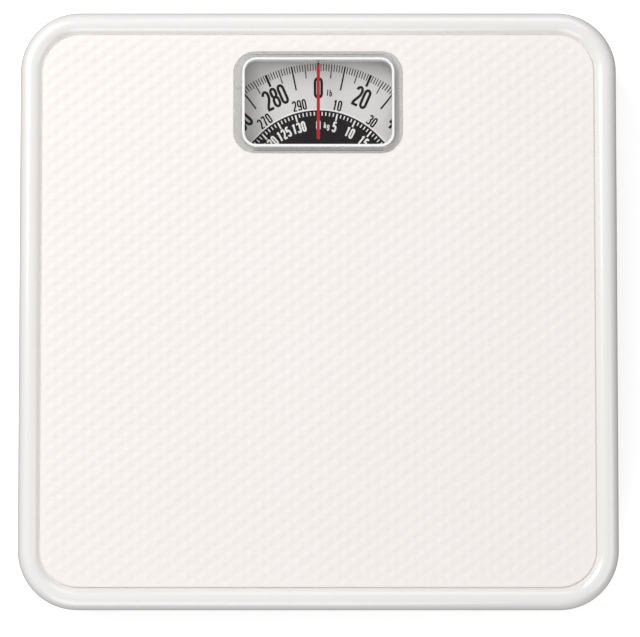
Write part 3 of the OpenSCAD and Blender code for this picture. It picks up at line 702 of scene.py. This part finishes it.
# inner and outer radius and width of the scale's ticks
tickShapes = {
    "one": (55.2 * mm, 58.3 * mm, 0.4 * mm),
    "five": (52.1 * mm, 58.3 * mm, 0.46 * mm),
    "ten": (47.6 * mm, 58.3 * mm, 0.68 * mm),
    "twenty": (52.8 * mm, 58.3 * mm, 1.05 * mm),
    "zero": (52.8 * mm, 58.7 * mm, 1.05 * mm),
    "kilo": (35.6 * mm, 37.2 * mm, 0.5 * mm),
    "fiveKilos": (34.1 * mm, 37.2 * mm, 0.72 * mm),
}
# radius of the figures' foot, and their height, width, stroke and gap
figureShapes = {
    "zero": (42.9 * mm, 9.6 * mm, 4.2 * mm, 1.2 * mm, 0.2 * mm),
    "twenty": (43.0 * mm, 9.2 * mm, 3.5 * mm, 1.2 * mm, 0.2 * mm),
    "ten": (38.4 * mm, 4.9 * mm, 1.95 * mm, 0.72 * mm, 0.26 * mm),
    "kilo": (29.0 * mm, 4.8 * mm, 2.0 * mm, 0.84 * mm, 0.24 * mm),
    "poundUnit": (44.2 * mm, 3.2 * mm, 1.25 * mm, 0.46 * mm, 0.26 * mm),
    "kiloUnit": (30.0 * mm, 2.9 * mm, 1.15 * mm, 0.44 * mm, 0.24 * mm),
}


def dialPaper():
    material, inputs, flow, place = startMaterial("dialPaper", {
        "Base Color": shade(dialShape["paper"]), "Roughness": 0.5, "Specular IOR Level": 0.3,
    })
    tint = tuple(0.985 * c for c in dialShape["paper"])
    fibres = noise(flow, place, 900, 3)
    feed(flow, inputs, "Base Color", mixColours(flow, fibres, shade(dialShape["paper"]), shade(tint)))
    bump(flow, inputs, noise(flow, place, 3000, 2), 0.01 * mm, 0.3)
    return material


def printInk(name, colour):
    material, inputs, flow, place = startMaterial(name, {
        "Base Color": shade(colour), "Roughness": 0.45, "Specular IOR Level": 0.08,
    })
    feed(flow, inputs, "Roughness", 0.4 + 0.15 * noise(flow, place, 2000, 2))
    return material


dialLow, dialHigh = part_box("dial_disc")
dialCentre = Vector(((dialLow.x + dialHigh.x) / 2, (dialLow.y + dialHigh.y) / 2, dialHigh.z))


# a flat ring between two radii, as a closed plate
def addRing(bm, centre, inner, outer, thickness, steps):
    start = bmesh.ops.create_grid(bm, x_segments=1, y_segments=1, size=0.5)["verts"]
    bmesh.ops.rotate(bm, cent=(0, 0, 0), matrix=Matrix.Rotation(math.pi / 2, 3, "X"), verts=start)
    bmesh.ops.scale(bm, vec=(outer - inner, 1, thickness), verts=start)
    bmesh.ops.translate(bm, vec=((outer + inner) / 2, 0, thickness / 2), verts=start)
    section = start[0].link_faces[0]
    edges = list(section.edges)
    bmesh.ops.delete(bm, geom=[section], context="FACES_ONLY")
    bmesh.ops.spin(
        bm, geom=start + edges, cent=(0, 0, 0), axis=(0, 0, 1), angle=math.tau, steps=steps, use_merge=True
    )
    bmesh.ops.translate(bm, vec=centre, verts=bm.verts)


# the scale runs clockwise as it is read, with 0 at the window's pointer
def markTurn(pounds):
    return math.tau * (0.25 - pounds / fullPounds)


def tickKind(pounds):
    if pounds == 0:
        return "zero"
    for step, kind in ((20, "twenty"), (10, "ten"), (5, "five")):
        if pounds % step == 0:
            return kind
    return "one"


def addTick(bm, pounds, inner, outer, width):
    turn = Matrix.Rotation(markTurn(pounds), 4, "Z")
    size = Matrix.Diagonal((outer - inner, width, dialShape["print"], 1))
    place = Matrix.Translation(((outer + inner) / 2, 0, dialShape["print"] / 2))
    bmesh.ops.create_cube(bm, size=1, matrix=Matrix.Translation(dialCentre) @ turn @ place @ size)


def arcPath(x, y, radius, start, end, steps=10):
    turns = [math.radians(start + (end - start) * i / steps) for i in range(steps + 1)]
    return [(round(x + radius * math.cos(a), 6), round(y + radius * math.sin(a), 6)) for a in turns]


# each figure as pen strokes, 1 wide and 2.5 high between the middles of its outer strokes
figureTall = 2.5
sixStrokes = [
    arcPath(0.5, 1.05, 0.5, 0, 180) + arcPath(0.5, 0.5, 0.5, 180, 360) + [(1, 1.05)],
    [(0, 1)] + arcPath(0.5, 2, 0.5, 180, 15),
]
figureStrokes = {
    "0": [arcPath(0.5, 2, 0.5, 0, 180) + arcPath(0.5, 0.5, 0.5, 180, 360) + [(1, 2)]],
    "1": [[(0.62, -0.1), (0.62, 2.6)], [(0.18, 2.02), (0.66, 2.4)]],
    "2": [
        arcPath(0.5, 2, 0.5, 178, 0) + [(1, 1.8), (0.9, 1.42), (0.62, 0.98), (0.25, 0.5), (0.06, 0.1)],
        [(-0.14, 0), (1.12, 0)],
    ],
    "3": [
        arcPath(0.5, 2, 0.5, 170, 0) + arcPath(0.5, 1.83, 0.5, 0, -85, 6),
        arcPath(0.5, 0.83, 0.5, 85, 0, 6) + arcPath(0.5, 0.5, 0.5, 0, -170),
    ],
    "4": [[(0.76, -0.1), (0.76, 2.6)], [(0.7, 2.5), (-0.02, 0.7)], [(-0.18, 0.68), (1.14, 0.68)]],
    "5": [
        [(1.05, 2.5), (0.0, 2.5)],
        [(0.12, 2.5), (0.07, 1.2)],
        arcPath(0.5, 1.05, 0.5, 150, 0) + arcPath(0.5, 0.5, 0.5, 0, -172),
    ],
    "6": sixStrokes,
    "7": [[(-0.12, 2.5), (1.1, 2.5)], [(1, 2.5), (0.7, 1.6), (0.45, 0.8), (0.32, -0.1)]],
    "8": [
        arcPath(0.5, 2.04, 0.46, 0, 180) + arcPath(0.5, 1.76, 0.46, 180, 360) + [(0.96, 2.04)],
        arcPath(0.5, 0.8, 0.5, 0, 180) + arcPath(0.5, 0.5, 0.5, 180, 360) + [(1, 0.8)],
    ],
    "9": [[(1 - x, figureTall - y) for x, y in stroke] for stroke in sixStrokes],
    "l": [[(0.5, 0), (0.5, 2.5)]],
    "b": [[(0, 0), (0, 2.5)], arcPath(0.45, 0.95, 0.5, 180, 0) + arcPath(0.45, 0.5, 0.5, 0, -180)],
    "k": [[(0, 0), (0, 2.5)], [(1, 1.6), (0.05, 0.8)], [(0.35, 1.05), (1.05, 0)]],
    "g": [
        arcPath(0.5, 1.0, 0.5, 0, 180) + arcPath(0.5, 0.6, 0.5, 180, 360),
        [(1, 1.5), (1, -0.3)] + arcPath(0.5, -0.3, 0.5, 0, -170),
    ],
}
kiloMarksEnd = 135                  # the last multiple of five that keeps clear of the zero


# adds the strokes of a number to a curve, upright on its radius
def writeNumber(curve, number, pounds, style):
    foot, height, width, stroke, gap = style
    text = str(number)
    step = width + gap
    start = -(len(text) * step - gap) / 2 + stroke / 2
    scaleX = width - stroke
    scaleY = (height - stroke) / figureTall
    turn = Matrix.Rotation(markTurn(pounds) - math.pi / 2, 4, "Z")
    place = Matrix.Translation(dialCentre) @ turn
    for count, figure in enumerate(text):
        for path in figureStrokes[figure]:
            closed = path[0] == path[-1]
            points = path[:-1] if closed else path
            spline = curve.splines.new("POLY")
            spline.points.add(len(points) - 1)
            spline.use_cyclic_u = closed
            for point, (x, y) in zip(spline.points, points):
                across = start + count * step + x * scaleX
                up = foot + stroke / 2 + y * scaleY
                point.co = (*(place @ Vector((across, up, 0))), 1)
            spline.use_smooth = True


# the bevelled curve's surface as a bmesh
def curveMesh(curve):
    holder = bpy.data.objects.new(curve.name, curve)
    bpy.context.scene.collection.objects.link(holder)
    bpy.context.view_layer.update()
    mesh = bpy.data.meshes.new_from_object(holder.evaluated_get(bpy.context.evaluated_depsgraph_get()))
    bpy.data.objects.remove(holder)
    bm = bmesh.new()
    bm.from_mesh(mesh)
    bpy.data.meshes.remove(mesh)
    return bm


# the written curve as flat ribbons of the stroke's width, standing on the dial's face
def finishNumbers(curve, name, material, stroke):
    curve.dimensions = "3D"
    curve.twist_mode = "Z_UP"
    curve.bevel_depth = stroke / 2
    curve.bevel_resolution = 0
    curve.use_fill_caps = True
    bm = curveMesh(curve)
    level = dialCentre.z + dialShape["print"] / 2
    for vert in bm.verts:
        vert.co.z = level + (vert.co.z - dialCentre.z) * dialShape["print"] / stroke
    return placePiece(makePiece(bm, name, material, merge=1e-8), "dial", "dial_print")


def makeDial(paper, blackInk, whiteInk):
    centre = dialCentre
    low, high = dialLow, dialHigh
    shape = dialShape
    bm = bmesh.new()
    radius = (high.x - low.x) / 2
    addRing(bm, (centre.x, centre.y, low.z), shape["hubHole"], radius, high.z - low.z, shape["steps"])
    placePiece(makePiece(bm, "dialFace", paper), "dial", "dial_print", "dial_disc")

    bm = bmesh.new()
    addRing(bm, centre, shape["hubHole"], shape["blackRadius"], shape["print"], shape["steps"])
    placePiece(makePiece(bm, "dialKiloGround", blackInk), "dial", "dial_print")
    bm = bmesh.new()
    outer = shape["blackRadius"] + shape["ringWidth"]
    addRing(bm, centre, shape["blackRadius"], outer, shape["print"], shape["steps"])
    placePiece(makePiece(bm, "dialKiloRing", whiteInk), "dial", "dial_print")

    bm = bmesh.new()
    for pounds in range(fullPounds):
        addTick(bm, pounds, *tickShapes[tickKind(pounds)])
    placePiece(makePiece(bm, "dialPoundTicks", blackInk, merge=0), "dial", "dial_print")
    bm = bmesh.new()
    for kilos in range(int(fullPounds / poundsPerKilo) + 1):
        kind = "fiveKilos" if kilos % 5 == 0 and kilos < kiloMarksEnd else "kilo"
        addTick(bm, kilos * poundsPerKilo, *tickShapes[kind])
    bmesh.ops.translate(bm, vec=(0, 0, shape["print"]), verts=bm.verts)
    placePiece(makePiece(bm, "dialKiloTicks", whiteInk, merge=0), "dial", "dial_print")

    large = bpy.data.curves.new("dialLargeNumbers", "CURVE")
    small = bpy.data.curves.new("dialSmallNumbers", "CURVE")
    kilo = bpy.data.curves.new("dialKiloNumbers", "CURVE")
    for pounds in range(0, fullPounds, 20):
        writeNumber(large, pounds, pounds, figureShapes["twenty" if pounds else "zero"])
        writeNumber(small, pounds + 10, pounds + 10, figureShapes["ten"])
    for kilos in range(0, kiloMarksEnd, 5):
        writeNumber(kilo, kilos, kilos * poundsPerKilo, figureShapes["kilo"])
    units = bpy.data.curves.new("dialPoundUnit", "CURVE")
    kiloUnits = bpy.data.curves.new("dialKiloUnit", "CURVE")
    writeNumber(units, "lb", dialShape["unitPlaces"][0], figureShapes["poundUnit"])
    writeNumber(kiloUnits, "kg", dialShape["unitPlaces"][1], figureShapes["kiloUnit"])
    finishNumbers(units, "dialPoundUnit", blackInk, figureShapes["poundUnit"][3])
    mark = finishNumbers(kiloUnits, "dialKiloUnit", whiteInk, figureShapes["kiloUnit"][3])
    mark.data.transform(Matrix.Translation((0, 0, shape["print"])))
    finishNumbers(large, "dialLargeNumbers", blackInk, figureShapes["twenty"][3])
    finishNumbers(small, "dialSmallNumbers", blackInk, figureShapes["ten"][3])
    numbers = finishNumbers(kilo, "dialKiloNumbers", whiteInk, figureShapes["kilo"][3])
    numbers.data.transform(Matrix.Translation((0, 0, shape["print"])))


# each spring: its wire's thickness, the coil's outer radius, the turns, and where the coil begins and ends
springShape = {
    "holdRadius": 4 * mm,
    "stepsPerTurn": 20,
    "sides": 2,                     # rounding of the wire, as the curve's bevel resolution
    "hold": {"wire": 1.2 * mm, "radius": 4 * mm, "turns": 22, "body": (13 * mm, 39.4 * mm)},
    "main": {
        "wire": 1.6 * mm, "radius": 6 * mm, "turns": 4,
        # the ends' points across the coil, in shares of its radius
        "entry": (-1, -0.9, -0.5, 0, 0.5, 0.8), "exit": (0.9, 0.5, 0, -0.5, -0.9),
    },
    "rack": {
        "wire": 0.8 * mm, "radius": 2.4 * mm, "turns": 38, "body": (-8 * mm, 29.5 * mm), "leadOut": 1.2 * mm,
        # points (y, z) of the front hook from its anchor and of the back hook from the rack's end, in mm
        "frontHook": [(-2.6, -2.0), (-2.6, -0.4), (-2.2, 0), (0, 0), (2, 0)],
        "backHook": [(1, 0), (1.5, -0.3), (1.5, -3.6)],
    },
    "eyeUp": 2.4 * mm,              # height of a lug's eye over the plate that it is lanced from
    "teethReach": 15 * mm,          # how far in front of the dial's axis the rack's teeth end
    "hookStay": 1.3 * mm,           # how much of a main spring's end keeps still with its lug
}


# points on a coil along +Z about the middle of (x, y), from one height and turn to another
def coilPath(x, y, radius, low, high, startTurn, turns):
    steps = round(turns * springShape["stepsPerTurn"])
    points = []
    for step in range(steps + 1):
        share = step / steps
        angle = math.tau * (startTurn + turns * share)
        z = low + (high - low) * share
        points.append(Vector((x + radius * math.cos(angle), y + radius * math.sin(angle), z)))
    return points


# a hook's loop in the plane of Y and Z about the middle (x, y, z), from one angle to another in degrees
def loopPath(x, y, z, radius, start, end, steps=14):
    turns = [math.radians(start + (end - start) * i / steps) for i in range(steps + 1)]
    return [Vector((x, y + radius * math.cos(a), z + radius * math.sin(a))) for a in turns]


# bends wires of one thickness along their paths, as one closed mesh
def makeWire(name, material, paths, wire):
    curve = bpy.data.curves.new(name, "CURVE")
    curve.dimensions = "3D"
    curve.bevel_depth = wire / 2
    curve.bevel_resolution = springShape["sides"]
    curve.use_fill_caps = True
    for path in paths:
        spline = curve.splines.new("POLY")
        spline.points.add(len(path) - 1)
        for point, place in zip(spline.points, path):
            point.co = (*place, 1)
    return makePiece(curveMesh(curve), name, material, merge=1e-7, sharpAngle=50)


def makeHoldDownSprings(material):
    shape = springShape["hold"]
    radius = shape["radius"] - shape["wire"] / 2
    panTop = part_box("footstep_bearing")[0].z
    lowerEye = panTop + springShape["eyeUp"]
    upperEye = platformShape["deckZ"] - platformShape["sheet"] - springShape["eyeUp"]
    bottom, top = shape["body"]
    paths = []
    for x, y in springPlaces():
        lower = loopPath(x, y, lowerEye + radius, radius, 250, -70, 20)
        upper = loopPath(x, y, upperEye - radius, radius, 70, 430, 20)
        coil = coilPath(x, y, radius, bottom, top, 0.25, shape["turns"])
        paths.append(lower[:17] + coil + upper[2:])
    piece = makeWire("holdDownSprings", material, paths, shape["wire"])
    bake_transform(piece)
    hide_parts("hold_down_springs")


def makeMainSprings(material):
    shape = springShape["main"]
    radius = shape["radius"] - shape["wire"] / 2
    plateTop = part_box("calibrating_plate")[1].z - platformShape["lugSize"][2]
    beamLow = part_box("spring_beam")[0].z + platformShape["lugSize"][2]
    lower = plateTop + springShape["eyeUp"]
    upper = beamLow - springShape["eyeUp"]
    for side in ("left", "right"):
        low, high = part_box("main_spring_" + side)
        x = (low.x + high.x) / 2
        y = (low.y + high.y) / 2
        start = [Vector((x, y + radius * share, lower)) for share in shape["entry"]]
        coil = coilPath(x, y, radius, lower, upper, 0.25, shape["turns"])
        end = [Vector((x, y + radius * share, upper)) for share in shape["exit"]]
        piece = makeWire("mainSpring" + side.capitalize(), material, [start + coil + end], shape["wire"])
        stay = springShape["hookStay"]
        lower + stay
        upper - stay
        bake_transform(piece)
        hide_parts("main_spring_" + side)


def makeRackSpring(material):
    shape = springShape["rack"]
    radius = shape["radius"] - shape["wire"] / 2
    low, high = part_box("rack_spring")
    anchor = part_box("rack_spring_anchor")[1].y
    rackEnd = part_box("rack")[0].y
    rackTop = rackBarTop() + shape["wire"] / 2
    x = (low.x + high.x) / 2
    z = (low.z + high.z) / 2
    front, back = shape["body"]
    upright = coilPath(0, 0, radius, front, back, 0.25, shape["turns"])
    coil = [Vector((x + point.x, point.z, z + point.y)) for point in upright]
    start = [Vector((x, anchor + along * mm, z + up * mm)) for along, up in shape["frontHook"]]
    end = [Vector((x, back + shape["leadOut"], rackTop))]
    end += [Vector((x, rackEnd + along * mm, rackTop + up * mm)) for along, up in shape["backHook"]]
    piece = makeWire("rackSpring", material, [start + coil + end], shape["wire"])
    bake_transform(piece)
    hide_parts("rack_spring")


# the top of the rack's plain bar, in front of its teeth
def rackBarTop():
    front = dialCentre.y - springShape["teethReach"]
    return max(vert.co.z for vert in frame["nodes"]["rack"].data.vertices if vert.co.y < front)


footShape = {
    "round": 1.1 * mm,
    "grooves": (5.2 * mm, 7.4 * mm, 9.6 * mm),      # radii of the grip grooves in the sole
    "groove": (0.8 * mm, 0.6 * mm),                 # their width and depth
    "rivetHead": 2.8 * mm,
    "bore": 1.62 * mm,
    "wellSlack": 0.3 * mm,                          # room round the rivet's head
    "wellLip": 0.4 * mm,
    "topBreak": 0.3 * mm,
    "steps": 64,
    "colour": (0.028, 0.028, 0.03),
}


# turns a section of (radius, z) points once round the upright axis through a place
def turnSection(bm, section, place, steps):
    verts = [bm.verts.new((radius, 0, z)) for radius, z in section]
    edges = [bm.edges.new(pair) for pair in zip(verts, verts[1:] + verts[:1])]
    bmesh.ops.spin(
        bm, geom=verts + edges, cent=(0, 0, 0), axis=(0, 0, 1), angle=math.tau, steps=steps, use_merge=True
    )
    fresh = {vert for vert in bm.verts if not vert.tag}
    bmesh.ops.translate(bm, vec=(*place, 0), verts=list(fresh))
    for vert in fresh:
        vert.tag = True


def makeFeet(material):
    shape = footShape
    low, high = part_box("rubber_feet")
    rivetLow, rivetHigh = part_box("foot_rivets")
    centre = (rivetHigh.x - rivetLow.x) / 2 - shape["rivetHead"]
    radius = (high.x - low.x) / 2 - centre
    edge = shape["round"]
    wide, deep = shape["groove"]
    well = shape["rivetHead"] + shape["wellSlack"]
    lip = shape["wellLip"]
    section = [(shape["bore"], high.z), (shape["bore"], rivetLow.z), (well, rivetLow.z)]
    section += [(well, lip), (well + lip, 0)]
    for ring in shape["grooves"]:
        section += [
            (ring - wide / 2, 0), (ring - wide / 4, deep), (ring + wide / 4, deep), (ring + wide / 2, 0)
        ]
    section += [(radius - i, z) for i, z in arcPoints(edge, edge, edge, -90, 0, 6)]
    section += [(radius, high.z - shape["topBreak"]), (radius - shape["topBreak"], high.z)]
    bm = bmesh.new()
    for x in (-centre, centre):
        for y in (-centre, centre):
            turnSection(bm, section, (x, y), shape["steps"])
    piece = makePiece(bm, "rubberFeet", material)
    return placePiece(piece, "base", "black_rubber", "rubber_feet")


def blackRubber():
    material, inputs, flow, place = startMaterial("blackRubber", {
        "Base Color": shade(footShape["colour"]), "Roughness": 0.7, "Specular IOR Level": 0.35,
    })
    dusty = tuple(2.6 * c for c in footShape["colour"])
    dust = noise(flow, place, 180, 4)
    feed(flow, inputs, "Base Color", mixColours(flow, dust, shade(footShape["colour"]), shade(dusty)))
    feed(flow, inputs, "Roughness", 0.6 + 0.25 * noise(flow, place, 500, 3))
    bump(flow, inputs, noise(flow, place, 2500, 3), 0.03 * mm, 0.6)
    return material


metalFinishes = {
    "zinc_plated_steel": {
        "colour": (0.60, 0.62, 0.64), "tint": (0.66, 0.62, 0.52), "rough": (0.28, 0.22), "grain": 260,
        "streak": (1, 1, 1), "depth": 0.012 * mm,
    },
    "bright_steel": {
        "colour": (0.68, 0.69, 0.71), "tint": (0.55, 0.55, 0.57), "rough": (0.18, 0.16), "grain": 500,
        "streak": (1, 1, 6), "depth": 0.006 * mm,
    },
    "spring_steel": {
        "colour": (0.44, 0.45, 0.48), "tint": (0.32, 0.32, 0.35), "rough": (0.24, 0.2), "grain": 700,
        "streak": (1, 1, 3), "depth": 0.008 * mm,
    },
    "brass": {
        "colour": (0.74, 0.54, 0.24), "tint": (0.50, 0.36, 0.17), "rough": (0.24, 0.22), "grain": 420,
        "streak": (1, 6, 1), "depth": 0.008 * mm,
    },
}


# plated or rolled metal: patches of tint, uneven shine and a fine grain along one way
def metal(name, finish):
    material, inputs, flow, place = startMaterial(name, {
        "Base Color": shade(finish["colour"]), "Metallic": 1.0, "Roughness": finish["rough"][0],
    })
    patches = flow.node(
        "ShaderNodeValToRGB", {"stops": [(0.4, 0), (0.75, 1)]}, {"Fac": noise(flow, place, 45, 4, 0.6)}
    )
    colour = mixColours(flow, patches, shade(finish["colour"]), shade(finish["tint"]))
    feed(flow, inputs, "Base Color", colour)
    along = stretch(flow, place, finish["streak"])
    grain = noise(flow, along, finish["grain"], 3)
    feed(flow, inputs, "Roughness", finish["rough"][0] + finish["rough"][1] * grain)
    bump(flow, inputs, noise(flow, along, 4 * finish["grain"], 2), finish["depth"], 0.5)
    return material


def greyPlastic():
    colour = (0.045, 0.045, 0.05)
    material, inputs, flow, place = startMaterial("greyPlastic", {
        "Base Color": shade(colour), "Roughness": 0.42,
    })
    worn = tuple(1.8 * c for c in colour)
    feed(flow, inputs, "Base Color", mixColours(flow, noise(flow, place, 120, 4), shade(colour), shade(worn)))
    feed(flow, inputs, "Roughness", 0.34 + 0.2 * noise(flow, place, 400, 2))
    bump(flow, inputs, noise(flow, place, 3000, 2), 0.02 * mm, 0.5)      # fine moulded texture
    return material


# how the sheared and turned edges are broken
edgeBreak = {"width": 0.18 * mm, "segments": 2, "sharpFrom": 40, "weld": 0.002 * mm}
softEdged = ("zinc_plated_steel", "brass", "grey_plastic", "white_enamel")
fineToothed = ("rack", "pinion")    # their teeth are too fine for a broken edge


# gives every CAD node that still shows the material of its slot, and breaks the sharp edges of those with a
# soft-edged finish, except the fine-toothed ones
def finishNodes(materials):
    slotOf = {part["node"]: part["material_slot"] for part in frame["record"]["subparts"]}
    count = 0
    for name, node in frame["nodes"].items():
        if node.hide_render:
            continue
        slot = slotOf[name]
        node.data.materials.clear()
        node.data.materials.append(materials[slot])
        for polygon in node.data.polygons:
            polygon.material_index = 0
        if slot in softEdged and name not in fineToothed:
            weld = node.modifiers.new("weld", "WELD")
            weld.merge_threshold = edgeBreak["weld"]
            soften = node.modifiers.new("edgeBreak", "BEVEL")
            soften.width = edgeBreak["width"]
            soften.segments = edgeBreak["segments"]
            soften.limit_method = "ANGLE"
            soften.angle_limit = math.radians(edgeBreak["sharpFrom"])
            soften.harden_normals = True
        count += 1
    print("finished", count, "CAD nodes")


floorShape = {"halfWidth": 6, "colour": (0.95, 0.95, 0.95), "glow": 0.5}


def makeFloor():
    material = startMaterial("floorWhite", {
        "Base Color": shade(floorShape["colour"]), "Roughness": 0.9,
        "Emission Color": (1, 1, 1, 1), "Emission Strength": floorShape["glow"],
    })[0]
    bm = bmesh.new()
    bmesh.ops.create_grid(bm, x_segments=2, y_segments=2, size=floorShape["halfWidth"])
    floor = makePiece(bm, "floor", material, recalculate=False)
    floor.visible_diffuse = False       # it shows white, but throws no light up at the skirt
    floor.visible_glossy = False


bpy.context.scene.view_settings.view_transform = "Standard"
placeCamera()
placeLights()
makeFloor()
print("camera, lights and floor placed")

enamel = whiteEnamel()
makePlatform(enamel)
print("platform made")
makeMat(vinylMat())
print("mat made")
makeLens(clearPlastic())
makeWindowEdge(frostedPlastic())
makeSeal(greyFoam())
makeTapes(darkTape())
makePointer(redPlastic())
print("window and pointer made")
makeDial(dialPaper(), printInk("blackInk", dialShape["ink"]), printInk("whiteInk", dialShape["whiteInk"]))
print("dial printed")
springSteel = metal("springSteel", metalFinishes["spring_steel"])
makeHoldDownSprings(springSteel)
makeMainSprings(springSteel)
makeRackSpring(springSteel)
rubber = blackRubber()
makeFeet(rubber)
print("springs and feet made")
finishNodes({
    "white_enamel": enamel,
    "black_rubber": rubber,
    "spring_steel": springSteel,
    "grey_plastic": greyPlastic(),
    "zinc_plated_steel": metal("zincPlatedSteel", metalFinishes["zinc_plated_steel"]),
    "bright_steel": metal("brightSteel", metalFinishes["bright_steel"]),
    "brass": metal("brass", metalFinishes["brass"]),
})
